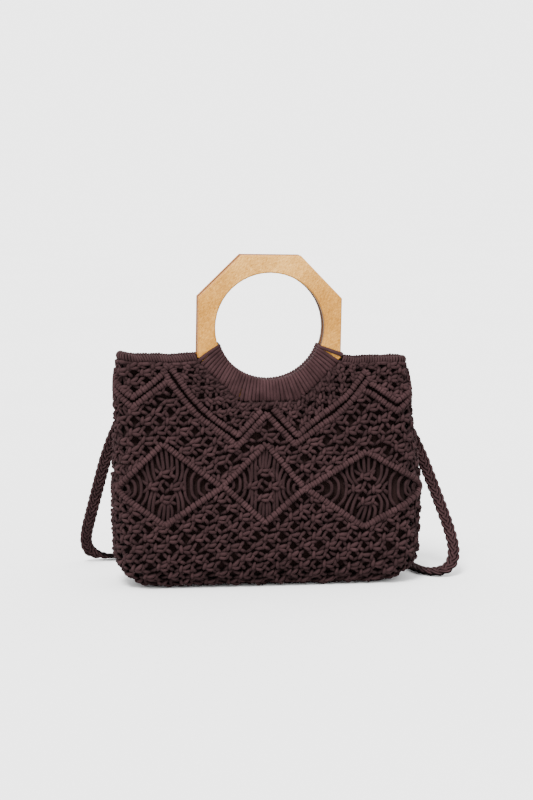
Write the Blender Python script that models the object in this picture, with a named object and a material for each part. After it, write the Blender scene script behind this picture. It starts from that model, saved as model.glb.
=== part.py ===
"""A knotted cord handbag: a pierced net body on a fabric lining, two octagonal wooden handle
rings, the cords wrapped round their lower arcs, wrapped rims and one braided shoulder strap.

Metres, +Z up, the front towards -Y. The bag stands on z = 0 with the origin under its middle.
"""

import math
from collections import namedtuple

import bmesh
import bpy
from mathutils import Matrix, Vector

# Gaps between pieces that touch
CLEARANCE = 0.0003
LINING_SLACK = 0.0012

# Body: a bag of knotted cord with rounded lower edges
BODY_HEIGHT = 0.232
BODY_WIDTH = 0.304
BODY_DEPTH = 0.086
NET_THICKNESS = 0.005
BASE_ROUND_HEIGHT = 0.038
BASE_ROUND_SIDE = 0.038
BASE_ROUND_FRONT = 0.022
RIM_DIAMETER = 0.008
LINING_THICKNESS = 0.0012
LINING_DROP = 0.004

# Net: rows of knots with diamond gaps between them
NET_COLUMNS = 48
NET_ROW = 0.0135
NET_GAP_SHARE = 0.62
NET_GAP_LEAST_COLUMN = 0.011
TURN_WEIGHT = 0.025
BASE_STEPS = 4
LINING_ROWS = 4

# Handle: two octagonal rings with a round hand hole
HANDLE_FLATS = 0.143
HANDLE_HOLE = 0.1085
HANDLE_THICKNESS = 0.009
HANDLE_EDGE = 0.0012
HANDLE_X = 0.003
HANDLE_HEIGHT = 0.2565
HANDLE_ROLL = math.radians(1)
HANDLE_STEPS = 48
WRAP_CORD = 0.0027
WRAP_START = math.radians(195)
WRAP_END = math.radians(345)

# Strap: a braid knotted to the back of both upper corners
STRAP_DIAMETER = 0.010
STRAP_KNOT_WIDTH = 0.015
STRAP_KNOT_DEPTH = 0.011
STRAP_KNOT_HEIGHT = 0.018
STRAP_KNOT_INSET = 0.018
STRAP_KNOT_DROP = 0.014
STRAP_KNOT_EDGE = 0.003
STRAP_POINT_SPACING = 2.6

# Body sections: width and depth are shares of BODY_WIDTH and BODY_DEPTH, height of BODY_HEIGHT;
# corner is the plan corner's radius and bulge the crown of front and back, shares of half the depth
Section = namedtuple("Section", "height width depth corner bulge")
SECTIONS = (
    Section(0.00, 0.985, 0.97, 0.72, 0.04),
    Section(0.17, 0.997, 1.00, 0.74, 0.07),
    Section(0.42, 1.000, 0.86, 0.78, 0.12),
    Section(0.62, 0.992, 0.62, 0.86, 0.12),
    Section(0.77, 0.982, 0.40, 0.95, 0.07),
    Section(1.00, 0.965, 0.35, 1.00, 0.03),
)

# Route of the strap from the left knot to the right one, over the floor behind the bag
STRAP_ROUTE = (
    (-0.1345, 0.0290, 0.1740),
    (-0.1465, 0.0395, 0.1530),
    (-0.1560, 0.0510, 0.1260),
    (-0.1630, 0.0640, 0.0970),
    (-0.1690, 0.0770, 0.0700),
    (-0.1745, 0.0890, 0.0460),
    (-0.1780, 0.0990, 0.0280),
    (-0.1760, 0.1080, 0.0150),
    (-0.1665, 0.1130, 0.0080),
    (-0.1530, 0.1140, 0.0058),
    (-0.1350, 0.1140, 0.0056),
    (-0.1080, 0.1180, 0.0056),
    (-0.0750, 0.1310, 0.0056),
    (-0.0350, 0.1460, 0.0056),
    (0.0120, 0.1550, 0.0056),
    (0.0600, 0.1490, 0.0056),
    (0.1020, 0.1280, 0.0056),
    (0.1310, 0.0960, 0.0056),
    (0.1480, 0.0620, 0.0056),
    (0.1550, 0.0320, 0.0056),
    (0.1600, 0.0100, 0.0056),
    (0.1710, -0.0050, 0.0058),
    (0.1850, -0.0090, 0.0085),
    (0.1940, -0.0030, 0.0180),
    (0.1945, 0.0070, 0.0330),
    (0.1895, 0.0160, 0.0520),
    (0.1825, 0.0230, 0.0730),
    (0.1745, 0.0280, 0.0950),
    (0.1660, 0.0310, 0.1180),
    (0.1560, 0.0325, 0.1390),
    (0.1450, 0.0310, 0.1580),
    (0.1355, 0.0275, 0.1750),
)

SMOOTH_ANGLE = math.radians(40)

# Colours of the pieces, linear red, green and blue, with their roughness
Finish = namedtuple("Finish", "colour roughness")
CORD = Finish((0.075, 0.038, 0.041), 0.85)
CORD_DARK = Finish((0.055, 0.027, 0.030), 0.85)
WOOD = Finish((0.62, 0.40, 0.20), 0.45)
FABRIC = Finish((0.085, 0.030, 0.026), 0.9)

WALL_TOP = BODY_HEIGHT - RIM_DIAMETER - CLEARANCE
HANDLE_SPREAD = HANDLE_THICKNESS / 2 + WRAP_CORD + 1.5 * CLEARANCE
NOTCH_FLATS = HANDLE_FLATS + 2 * (WRAP_CORD + 2 * CLEARANCE)


def clear_scene():
    for thing in list(bpy.data.objects):
        bpy.data.objects.remove(thing, do_unlink=True)


def material(name, finish):
    made = bpy.data.materials.new(name)
    made.use_nodes = True
    shader = made.node_tree.nodes["Principled BSDF"]
    shader.inputs["Base Color"].default_value = (*finish.colour, 1)
    shader.inputs["Roughness"].default_value = finish.roughness
    made.diffuse_color = (*finish.colour, 1)
    return made


def added(name, data, finish):
    """A new object of this mesh or curve, with its own material."""
    made = bpy.data.objects.new(name, data)
    bpy.context.collection.objects.link(made)
    data.materials.append(material(name, finish))
    return made


def mesh_object(name, points, faces, finish):
    mesh = bpy.data.meshes.new(name)
    mesh.from_pydata([tuple(point) for point in points], [], faces)
    shape = bmesh.new()
    shape.from_mesh(mesh)
    bmesh.ops.recalc_face_normals(shape, faces=shape.faces)
    shape.to_mesh(mesh)
    shape.free()
    mesh.shade_smooth()
    mesh.set_sharp_from_angle(angle=SMOOTH_ANGLE)
    return added(name, mesh, finish)


def bridge(first, second):
    """Faces between two loops of as many points."""
    count = len(first)
    return [
        (first[i], first[(i + 1) % count], second[(i + 1) % count], second[i])
        for i in range(count)
    ]


def swept(name, stations, finish, closed):
    """A solid through a row of loops of as many points, closed into a ring or capped."""
    size = len(stations[0])
    loops = [range(i * size, (i + 1) * size) for i in range(len(stations))]
    pairs = list(zip(loops, loops[1:]))
    faces = [tuple(loops[0]), tuple(loops[-1])]
    if closed:
        pairs.append((loops[-1], loops[0]))
        faces = []
    for first, second in pairs:
        faces += bridge(first, second)
    points = [point for station in stations for point in station]
    return mesh_object(name, points, faces, finish)


# Body surface


def section_at(share):
    """The body's section at a share of its height, on a smooth curve through the table."""
    rows = SECTIONS
    low = max(i for i in range(len(rows) - 1) if rows[i].height <= share or i == 0)
    high = low + 1
    span = rows[high].height - rows[low].height
    t = min(max((share - rows[low].height) / span, 0), 1)

    def slope(i, column):
        before, after = rows[max(i - 1, 0)], rows[min(i + 1, len(rows) - 1)]
        return (after[column] - before[column]) / (after.height - before.height)

    def value(column):
        rise = (2 * t**3 - 3 * t**2 + 1) * rows[low][column]
        rise += (3 * t**2 - 2 * t**3) * rows[high][column]
        rise += (t**3 - 2 * t**2 + t) * span * slope(low, column)
        return rise + (t**3 - t**2) * span * slope(high, column)

    return Section(share, *(value(column) for column in range(1, 5)))


def plan_point(half_width, half_depth, corner, bulge, share, offset):
    """A point of a rounded oblong in plan; share 0 is the front's middle and 0.25 the +X side."""
    straight_x = half_width - corner
    straight_y = half_depth - corner
    turn = (corner + TURN_WEIGHT) * math.pi / 2
    quarter, local = divmod(share % 1 * 4, 1)
    along = local if quarter % 2 == 0 else 1 - local
    walked = along * (straight_x + turn + straight_y)
    if walked < straight_x:
        x, y = walked, half_depth + offset
    elif walked < straight_x + turn:
        angle = (walked - straight_x) / (corner + TURN_WEIGHT)
        x = straight_x + (corner + offset) * math.sin(angle)
        y = straight_y + (corner + offset) * math.cos(angle)
    else:
        x, y = half_width + offset, straight_x + turn + straight_y - walked
    crown = 1 - (x / (half_width + offset)) ** 2
    y *= 1 + bulge * crown / (half_depth + offset)
    return Vector((x if quarter in (0, 1) else -x, y if quarter in (1, 2) else -y))


def body_point(share, level, offset=0.0):
    """A point of the bag's skin. Level 0 to 1 is the rounded base and 1 to 2 the wall."""
    lean = max(0.0, 1 - level) * math.pi / 2
    rise = BASE_ROUND_HEIGHT * (1 - math.sin(lean))
    rise += max(0.0, level - 1) * (WALL_TOP - BASE_ROUND_HEIGHT)
    section = section_at(rise / BODY_HEIGHT)
    half = BODY_DEPTH / 2 * section.depth
    bulge = half * section.bulge
    half_width = BODY_WIDTH / 2 * section.width - BASE_ROUND_SIDE * (1 - math.cos(lean))
    half_depth = half - bulge - BASE_ROUND_FRONT * (1 - math.cos(lean))
    corner = half_depth * section.corner
    out = offset * math.cos(lean)
    flat = plan_point(half_width, half_depth, corner, bulge, share, out)
    return Vector((flat.x, flat.y, rise - offset * math.sin(lean)))


def wall_level(height):
    return 1 + (height - BASE_ROUND_HEIGHT) / (WALL_TOP - BASE_ROUND_HEIGHT)


# Handle frame


def octagon_radius(flats, angle):
    """Distance from an octagon's centre to its edge, with a flat side at angle 0."""
    side = math.pi / 4
    return flats / 2 / math.cos((angle + side / 2) % side - side / 2)


def handle_point(radius, angle, depth):
    """A point at an angle about the hand hole, turned by the handle's roll."""
    angle -= HANDLE_ROLL
    x = HANDLE_X + radius * math.cos(angle)
    return Vector((x, depth, HANDLE_HEIGHT + radius * math.sin(angle)))


def octagon_reach(point):
    """How many flats out from the hand hole's centre a point lies, as across-flats size."""
    across, up = point.x - HANDLE_X, point.z - HANDLE_HEIGHT
    angle = math.atan2(up, across) + HANDLE_ROLL
    return math.hypot(across, up) / octagon_radius(2, angle) * 2


# Pieces


def net_rows():
    """Levels of the rows of knots, up the rounded base and then up the wall."""
    base = [step / BASE_STEPS for step in range(BASE_STEPS)]
    count = round((WALL_TOP - BASE_ROUND_HEIGHT) / NET_ROW)
    return base + [1 + row / count for row in range(count + 1)]


def row_share(row, column):
    return (column + 0.5 * (row % 2)) / NET_COLUMNS


def is_gap(row, column, rows):
    """Whether the diamond to the right of this knot is open."""
    staggered = (column + row // 2) % 2 == 0
    if row <= BASE_STEPS or (row - BASE_STEPS) % 2 == 0 or not staggered or row > len(rows) - 3:
        return False
    left = body_point(row_share(row, column), rows[row])
    right = body_point(row_share(row, column + 1), rows[row])
    clear_of_notch = octagon_reach((left + right) / 2) > NOTCH_FLATS + 1.6 * NET_ROW
    return (right - left).length > NET_GAP_LEAST_COLUMN and clear_of_notch


def net_body():
    """The bag of knotted cord, cut through by diamond gaps and notched for the handle."""
    rows = net_rows()
    points = []
    skins = []
    for offset in (0.0, -NET_THICKNESS):
        skins.append(len(points))
        for row, level in enumerate(rows):
            points += [
                body_point(row_share(row, column), level, offset) for column in range(NET_COLUMNS)
            ]
    outside, inside = skins

    def index(row, column):
        return row * NET_COLUMNS + column % NET_COLUMNS

    gaps = {
        (row, column)
        for row in range(1, len(rows) - 1)
        for column in range(NET_COLUMNS)
        if is_gap(row, column, rows)
    }
    faces = []
    for row in range(len(rows)):
        for column in range(NET_COLUMNS):
            left, right = index(row, column), index(row, column + 1)
            middle = column + row % 2
            above = index(row + 1, middle) if row + 1 < len(rows) else None
            below = index(row - 1, middle) if row > 0 else None
            if (row, column) in gaps:
                faces += gap_faces(points, (left, below, right, above), outside, inside)
                continue
            for apex in (above, below):
                if apex is not None:
                    faces.append((left + outside, right + outside, apex + outside))
                    faces.append((left + inside, right + inside, apex + inside))
    first_row = [index(0, column) for column in range(NET_COLUMNS)]
    last_row = [index(len(rows) - 1, column) for column in range(NET_COLUMNS)]
    faces.append(tuple(first_row))
    faces.append(tuple(i + inside for i in first_row))
    faces += bridge(last_row, [i + inside for i in last_row])
    body = mesh_object("net_body", points, faces, CORD)
    cut(body, notch_cutter())
    return body


def gap_faces(points, corners, outside, inside):
    """Four-sided frame round one open diamond, on both skins, and the walls of the gap."""
    faces = []
    edges = []
    for skin in (outside, inside):
        ring = [corner + skin for corner in corners]
        centre = (points[ring[0]] + points[ring[2]]) / 2
        start = len(points)
        points += [centre + (points[i] - centre) * NET_GAP_SHARE for i in ring]
        edges.append(list(range(start, start + 4)))
        faces += bridge(ring, edges[-1])
    return faces + bridge(*edges)


def lining():
    """The fabric pouch inside the net, standing on the net's floor."""
    slack = -NET_THICKNESS - LINING_SLACK
    top = wall_level(WALL_TOP - LINING_DROP)
    levels = [step / BASE_STEPS for step in range(BASE_STEPS)]
    levels += [1 + (top - 1) * row / LINING_ROWS for row in range(LINING_ROWS + 1)]
    floor_shift = Vector((0, 0, CLEARANCE - LINING_SLACK))
    points = []
    for offset in (slack, slack - LINING_THICKNESS):
        for level in levels:
            shift = floor_shift * max(0.0, 1 - level)
            points += [
                body_point(column / NET_COLUMNS, level, offset) + shift
                for column in range(NET_COLUMNS)
            ]
    count = len(levels)
    loops = [
        list(range(i * NET_COLUMNS, (i + 1) * NET_COLUMNS)) for i in range(2 * count)
    ]
    faces = [tuple(loops[0]), tuple(loops[count])]
    for i in range(count - 1):
        faces += bridge(loops[i], loops[i + 1]) + bridge(loops[count + i], loops[count + i + 1])
    faces += bridge(loops[count - 1], loops[2 * count - 1])
    pouch = mesh_object("lining", points, faces, FABRIC)
    cut(pouch, notch_cutter())
    return pouch


def notch_cutter():
    """An octagonal prism, a clearance larger than the wrapped handle, that opens the notch."""
    made = bpy.data.objects.get("notch_cutter")
    if made:
        return made
    side = math.pi / 4
    angles = [side / 2 + side * i for i in range(8)]
    stations = [
        [handle_point(octagon_radius(NOTCH_FLATS, angle), angle, depth) for angle in angles]
        for depth in (-BODY_DEPTH, BODY_DEPTH)
    ]
    made = swept("notch_cutter", stations, CORD, closed=False)
    made.hide_render = True
    made.display_type = "WIRE"
    return made


def cut(target, cutter):
    notch = target.modifiers.new("notch", "BOOLEAN")
    notch.object = cutter
    notch.operation = "DIFFERENCE"


def ring_section(angle, middle, out, ease):
    """The handle's cross-section at one angle, grown outwards and with its edges cut off."""
    inner = HANDLE_HOLE / 2 - out
    outer = octagon_radius(HANDLE_FLATS + 2 * out, angle)
    half = HANDLE_THICKNESS / 2 + out
    corners = (
        (inner + ease, -half),
        (outer - ease, -half),
        (outer, -half + ease),
        (outer, half - ease),
        (outer - ease, half),
        (inner + ease, half),
        (inner, half - ease),
        (inner, -half + ease),
    )
    return [handle_point(radius, angle, middle + depth) for radius, depth in corners]


def handle_ring(name, middle):
    step = 2 * math.pi / HANDLE_STEPS
    sections = [ring_section(i * step, middle, 0, HANDLE_EDGE) for i in range(HANDLE_STEPS)]
    return swept(name, sections, WOOD, closed=True)


def handle_wrap(name, middle):
    """Cords wound side by side round the lower arc of a ring, as one sleeve."""
    step = 2 * math.pi / HANDLE_STEPS
    between = range(math.floor(WRAP_START / step) + 1, math.ceil(WRAP_END / step))
    angles = [WRAP_START] + [i * step for i in between] + [WRAP_END]
    edge = HANDLE_EDGE + WRAP_CORD / 2
    bore = [ring_section(angle, middle, CLEARANCE, HANDLE_EDGE) for angle in angles]
    skin = [ring_section(angle, middle, CLEARANCE + WRAP_CORD, edge) for angle in angles]
    return swept(name, bore + skin[::-1], CORD_DARK, closed=True)


def rim(name, side):
    """A wrapped roll along the top edge, from the front of the handle round to the back."""
    inset = -RIM_DIAMETER / 2
    drop = HANDLE_HEIGHT - BODY_HEIGHT + RIM_DIAMETER
    end = NOTCH_FLATS / 2 / math.cos(HANDLE_ROLL) + drop * math.tan(HANDLE_ROLL)
    stop = HANDLE_X + side * end
    outline = [body_point(side * i / NET_COLUMNS, 2, inset) for i in range(NET_COLUMNS // 2 + 1)]
    kept = [point for point in outline if (point.x - stop) * side > RIM_DIAMETER / 2]
    first, last = kept[0], kept[-1]
    route = [Vector((stop, first.y, 0)), *kept, Vector((stop, last.y, 0))]
    height = BODY_HEIGHT - RIM_DIAMETER / 2
    return cord(name, [(point.x, point.y, height) for point in route], RIM_DIAMETER, 3, CORD)


def cord(name, route, diameter, resolution, finish):
    """A round cord along a row of points, with flat ends."""
    curve = bpy.data.curves.new(name, "CURVE")
    curve.dimensions = "3D"
    curve.bevel_depth = diameter / 2
    curve.bevel_resolution = resolution - 1
    curve.use_fill_caps = True
    spline = curve.splines.new("POLY")
    spline.points.add(len(route) - 1)
    for point, place in zip(spline.points, route):
        point.co = (*place, 1)
    return added(name, curve, finish)


def knot_place(side):
    """Centre of the front face of a strap knot, seated on the back of the bag's wall."""
    x = BODY_WIDTH / 2 * SECTIONS[-1].width - STRAP_KNOT_INSET
    top = BODY_HEIGHT - RIM_DIAMETER - STRAP_KNOT_DROP
    lowest = wall_level(top - STRAP_KNOT_HEIGHT)
    seat = max(
        point.y
        for level in (lowest, wall_level(top))
        for point in (body_point(0.5 + i / 400, level) for i in range(100))
        if abs(point.x) > x - STRAP_KNOT_WIDTH / 2
    )
    return Vector((side * x, seat + CLEARANCE, top - STRAP_KNOT_HEIGHT / 2))


def strap_knot(name, side):
    """The knot that ties the strap behind an upper corner."""
    shape = bmesh.new()
    bmesh.ops.create_cube(shape, size=1)
    size = (STRAP_KNOT_WIDTH, STRAP_KNOT_DEPTH, STRAP_KNOT_HEIGHT)
    place = knot_place(side) + Vector((0, STRAP_KNOT_DEPTH / 2, 0))
    bmesh.ops.transform(shape, matrix=Matrix.LocRotScale(place, None, size), verts=shape.verts)
    mesh = bpy.data.meshes.new(name)
    shape.to_mesh(mesh)
    shape.free()
    made = added(name, mesh, CORD)
    rounded = made.modifiers.new("edges", "BEVEL")
    rounded.width = STRAP_KNOT_EDGE
    rounded.segments = 2
    return made


def smooth_route(points, spacing):
    """Points at an even spacing along a cubic B-spline guided by the given ones."""
    fine = []
    padded = [2 * points[0] - points[1], *points, 2 * points[-1] - points[-2]]
    for a, b, c, d in zip(padded, padded[1:], padded[2:], padded[3:]):
        for step in range(12):
            t = step / 12
            near = (1 - t) ** 3 * a + (3 * t**3 - 6 * t**2 + 4) * b
            far = (1 + 3 * t + 3 * t**2 - 3 * t**3) * c + t**3 * d
            fine.append((near + far) / 6)
    fine.append(points[-1])
    lengths = [0.0]
    for before, after in zip(fine, fine[1:]):
        lengths.append(lengths[-1] + (after - before).length)
    count = round(lengths[-1] / spacing)
    route = []
    step = 0
    for i in range(count + 1):
        reach = lengths[-1] * i / count
        while step < len(fine) - 2 and lengths[step + 1] < reach:
            step += 1
        share = (reach - lengths[step]) / (lengths[step + 1] - lengths[step])
        route.append(fine[step].lerp(fine[step + 1], share))
    return route


def strap():
    """The shoulder strap as one tube, which leaves both knots straight down."""
    lead = Vector((0, 0, STRAP_DIAMETER))
    exits = []
    for side in (-1, 1):
        place = knot_place(side) + Vector((0, STRAP_KNOT_DEPTH / 2, 0))
        exits.append(place - Vector((0, 0, STRAP_KNOT_HEIGHT / 2 + CLEARANCE)))
    left, right = exits
    points = [left - lead, *(Vector(place) for place in STRAP_ROUTE), right - lead]
    route = smooth_route(points, STRAP_POINT_SPACING * STRAP_DIAMETER / 2)
    return cord("strap", [left, *route, right], STRAP_DIAMETER, 3, CORD)


def main():
    clear_scene()
    net_body()
    lining()
    for name, side in (("front", -1), ("back", 1)):
        handle_ring(f"handle_{name}", side * HANDLE_SPREAD)
        handle_wrap(f"wrap_{name}", side * HANDLE_SPREAD)
    for name, side in (("left", -1), ("right", 1)):
        rim(f"rim_{name}", side)
        strap_knot(f"strap_knot_{name}", side)
    strap()


main()
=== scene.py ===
"""The knotted cord handbag as it looks: strands, knots, ridges, wraps, braid, lining and wood.

Metres, +Z up, the front towards -Y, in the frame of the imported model.
"""

import math
from collections import namedtuple

import bpy
import numpy as np
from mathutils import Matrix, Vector


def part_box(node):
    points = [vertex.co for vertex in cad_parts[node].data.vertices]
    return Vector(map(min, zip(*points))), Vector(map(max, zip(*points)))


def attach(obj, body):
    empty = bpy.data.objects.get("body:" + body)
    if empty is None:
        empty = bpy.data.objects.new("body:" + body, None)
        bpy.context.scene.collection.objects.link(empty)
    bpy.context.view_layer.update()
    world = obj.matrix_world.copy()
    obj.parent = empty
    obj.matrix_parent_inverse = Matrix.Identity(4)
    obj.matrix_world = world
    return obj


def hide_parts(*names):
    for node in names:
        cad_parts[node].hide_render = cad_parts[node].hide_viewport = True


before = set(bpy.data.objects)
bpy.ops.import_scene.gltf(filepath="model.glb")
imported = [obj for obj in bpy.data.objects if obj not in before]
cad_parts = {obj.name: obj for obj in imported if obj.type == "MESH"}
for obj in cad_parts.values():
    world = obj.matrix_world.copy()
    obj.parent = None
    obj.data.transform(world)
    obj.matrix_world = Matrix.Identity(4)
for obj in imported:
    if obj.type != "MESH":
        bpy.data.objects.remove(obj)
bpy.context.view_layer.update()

RANDOM = np.random.default_rng(20)
MM = 0.001

# Body, as in the solid model
BODY_HEIGHT = 0.232
BODY_WIDTH = 0.304
BODY_DEPTH = 0.086
BASE_ROUND_HEIGHT = 0.038
BASE_ROUND_SIDE = 0.038
BASE_ROUND_FRONT = 0.022
NET_THICKNESS = 0.005
LINING_SLACK = 0.0012
LINING_THICKNESS = 0.0012
RIM_DIAMETER = 0.008
CLEARANCE = 0.0003
WALL_TOP = BODY_HEIGHT - RIM_DIAMETER - CLEARANCE

# Handle, as in the solid model
HANDLE_FLATS = 0.143
HANDLE_HOLE = 0.1085
HANDLE_THICKNESS = 0.009
HANDLE_X = 0.003
HANDLE_HEIGHT = 0.2565
HANDLE_ROLL = math.radians(1)
WRAP_CORD = 0.0027
HANDLE_SPREAD = HANDLE_THICKNESS / 2 + WRAP_CORD + 1.5 * CLEARANCE
NOTCH_FLATS = HANDLE_FLATS + 2 * (WRAP_CORD + 2 * CLEARANCE)

# Strap, as in the solid model
STRAP_DIAMETER = 0.010
STRAP_KNOT_DEPTH = 0.011
STRAP_ROUTE = (
    (-0.1345, 0.0290, 0.1740),
    (-0.1465, 0.0395, 0.1530),
    (-0.1560, 0.0510, 0.1260),
    (-0.1630, 0.0640, 0.0970),
    (-0.1690, 0.0770, 0.0700),
    (-0.1745, 0.0890, 0.0460),
    (-0.1780, 0.0990, 0.0280),
    (-0.1760, 0.1080, 0.0150),
    (-0.1665, 0.1130, 0.0080),
    (-0.1530, 0.1140, 0.0058),
    (-0.1350, 0.1140, 0.0056),
    (-0.1080, 0.1180, 0.0056),
    (-0.0750, 0.1310, 0.0056),
    (-0.0350, 0.1460, 0.0056),
    (0.0120, 0.1550, 0.0056),
    (0.0600, 0.1490, 0.0056),
    (0.1020, 0.1280, 0.0056),
    (0.1310, 0.0960, 0.0056),
    (0.1480, 0.0620, 0.0056),
    (0.1550, 0.0320, 0.0056),
    (0.1600, 0.0100, 0.0056),
    (0.1710, -0.0050, 0.0058),
    (0.1850, -0.0090, 0.0085),
    (0.1940, -0.0030, 0.0180),
    (0.1945, 0.0070, 0.0330),
    (0.1895, 0.0160, 0.0520),
    (0.1825, 0.0230, 0.0730),
    (0.1745, 0.0280, 0.0950),
    (0.1660, 0.0310, 0.1180),
    (0.1560, 0.0325, 0.1390),
    (0.1450, 0.0310, 0.1580),
    (0.1355, 0.0275, 0.1750),
)

# Braid: a plait of three strands, each of two cords
BRAID_WIDTH = 0.013
BRAID_PERIOD = 0.024
BRAID_WAVE = 0.0011
BRAID_CORD = 0.0031
BRAID_NESTING = 0.95
BRAID_STEP = 0.0013
BRAID_LIFT = 0.0040
# The cords' half widths across and through the braid, as shares of half a cord
BRAID_FLAT = (1.02, 1.15)
# Below this height the strap settles onto the floor, over this height
SETTLE_FROM = 0.030
SETTLE_OVER = 0.020
FLOOR_REST = 0.0006
LEAD_STEPS = 8
# Which way the braid's flat side faces, at shares of its length
BRAID_FACING = (
    (0.00, (0, 1, 0)),
    (0.19, (0.1, 1, 0.1)),
    (0.235, (-0.4, 0.7, 0.5)),
    (0.28, (0, 0, 1)),
    (0.72, (0, 0, 1)),
    (0.765, (-0.2, -0.6, 0.6)),
    (0.80, (0.1, -1, 0.1)),
    (1.00, (0, -1, 0)),
)

# Camera, as the photograph was taken
CAMERA_AZIMUTH = -7
CAMERA_ELEVATION = 8
CAMERA_DISTANCE = 2.0
CAMERA_TARGET = (0, 0, 0.165)
CAMERA_LENS = 90
CAMERA_SENSOR = 36
IMAGE_HEIGHT = 800
TARGET_LEFT_OF_MIDDLE = 1
TARGET_BELOW_MIDDLE = 18

# Light: an even pale surround and one broad light from the upper left
WORLD_STRENGTH = 3.7
KEY_STRENGTH = 10.0
KEY_SOURCE = (-0.30, -0.60, 1.0)
KEY_WIDTH = math.radians(20)
FLOOR_TONE = 0.584
FLOOR_HALF = 12.0

# Pattern of knots: columns round the bag and rows up its skin
COLUMN = 0.0237
ROW = 0.0100
FIRST_ROW = 0.0030
FRONT_COLUMNS = 6.35
QUARTER_COLUMNS = 7.5
HALF_COLUMNS = 15
COLUMNS = 30
FRONT_MOST = 0.97
LATTICE_ROWS = 22
UPPER_ROWS = (0.1950, 0.2030, 0.2112, 0.2195, 0.2277, 0.2345, 0.2400)
UPPER_HEIGHT = 0.85
RIDGE_MARGIN = 0.0012
HANDLE_MARGIN = 0.006

# Rows of smaller knots along the handle's lower edge
FAN_ROWS = (0.0030, 0.0112, 0.0196)
FAN_KNOTS = 14
FAN_START = math.radians(199)
FAN_END = math.radians(341)
FAN_REACH = (-0.098, 0.100)
FAN_SHAPE = (0.70, 0.92)
FAN_SIZE = 0.92
FAN_EDGES = (0.0005, 0.0040)

# Diamonds of hitches: left, top, right and bottom corners, in millimetres across and up the skin
DIAMONDS = (
    ((-153.0, 111.0), (-104.5, 156.6), (-47.6, 112.8), (-103.5, 76.2)),
    ((-46.4, 114.4), (-2.5, 155.0), (34.6, 109.9), (-5.3, 77.0)),
    ((35.9, 109.9), (97.3, 145.2), (162.0, 107.0), (93.0, 70.4)),
)
# Double zigzag of hitches, in millimetres across and up the skin
UPPER_ZIGZAG = (
    (-177.8, 229), (-152.9, 218.5), (-132.0, 203.3), (-115.3, 215.5), (-103.8, 226), (-97.4, 236.5),
    (-90.3, 226), (-86.2, 219.8), (-76.2, 204.8), (-63.9, 191.1), (-52.9, 180.5), (-41.6, 172.4),
    (-30.2, 164.0), (-6.8, 188), (0.0, 190.5), (6.3, 189), (28.8, 163), (35.1, 168),
    (46.4, 177.6), (62.9, 189), (80.5, 202.4), (89.8, 214.8), (96.5, 223.8), (100.5, 229),
    (106.0, 214.5), (118.0, 206), (131.5, 195.7), (146.0, 205), (157.9, 213), (177.8, 229),
)
LOWER_ZIGZAG = (
    (-177.8, 221), (-152.9, 211), (-132.0, 193.7), (-117.8, 204.5), (-99.0, 219), (-93.0, 214),
    (-79.7, 195.8), (-67.4, 182.1), (-53.1, 171.3), (-41.9, 162.5), (-31.2, 153), (-1.0, 184.5),
    (26.2, 154), (36.4, 161), (50.6, 170.8), (68.4, 181.9), (83.7, 195.3), (94.5, 208.5),
    (102.0, 206), (113.0, 198.5), (131.8, 185.3), (148.0, 199.5), (160.4, 209), (177.8, 221),
)
RIDGE_TIPS = (
    ((-102.9, 232.3), (-96.5, 219.5), (-93.0, 214)),
    ((90.0, 203), (94.5, 208.5), (103.5, 221)),
)
# How far the hand-made net strays from an even one, in millimetres, at heights up the skin
STRAY_PLACES = (-178, -150, -100, -50, 0, 50, 100, 150, 178)
STRAY_HEIGHTS = (0, 75, 116, 157, 190, 240)
STRAY_RISE = (
    (0, 0, 0, 0, 0, 0, 0, 0, 0),
    (0, 0, 0, 0, 0, -1, -3, -2, 0),
    (0, -2, -2, -2, -2, -4, -5, -5, -2),
    (0, -3, -4, -4, -3, -6, -8, -5, -2),
    (0, -1, -5, -4, 0, -4, -6, -1, 0),
    (0, 0, 0, 0, 0, 0, 0, 0, 0),
)
WANDER = 0.0009
FLOOR_GAP = 0.0023
LEAST_DOWN = 0.3
# Hidden cords that hold the knots together at the sides and round the handle
SEAM_COLUMNS = (5.9, 6.25, 6.7, 7.2)
SEAM_START = 0.09
SEAM_WAVE = 0.10
BACKING_DEPTH = 0.0032
BACKING_RADIUS = 0.0019

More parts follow.
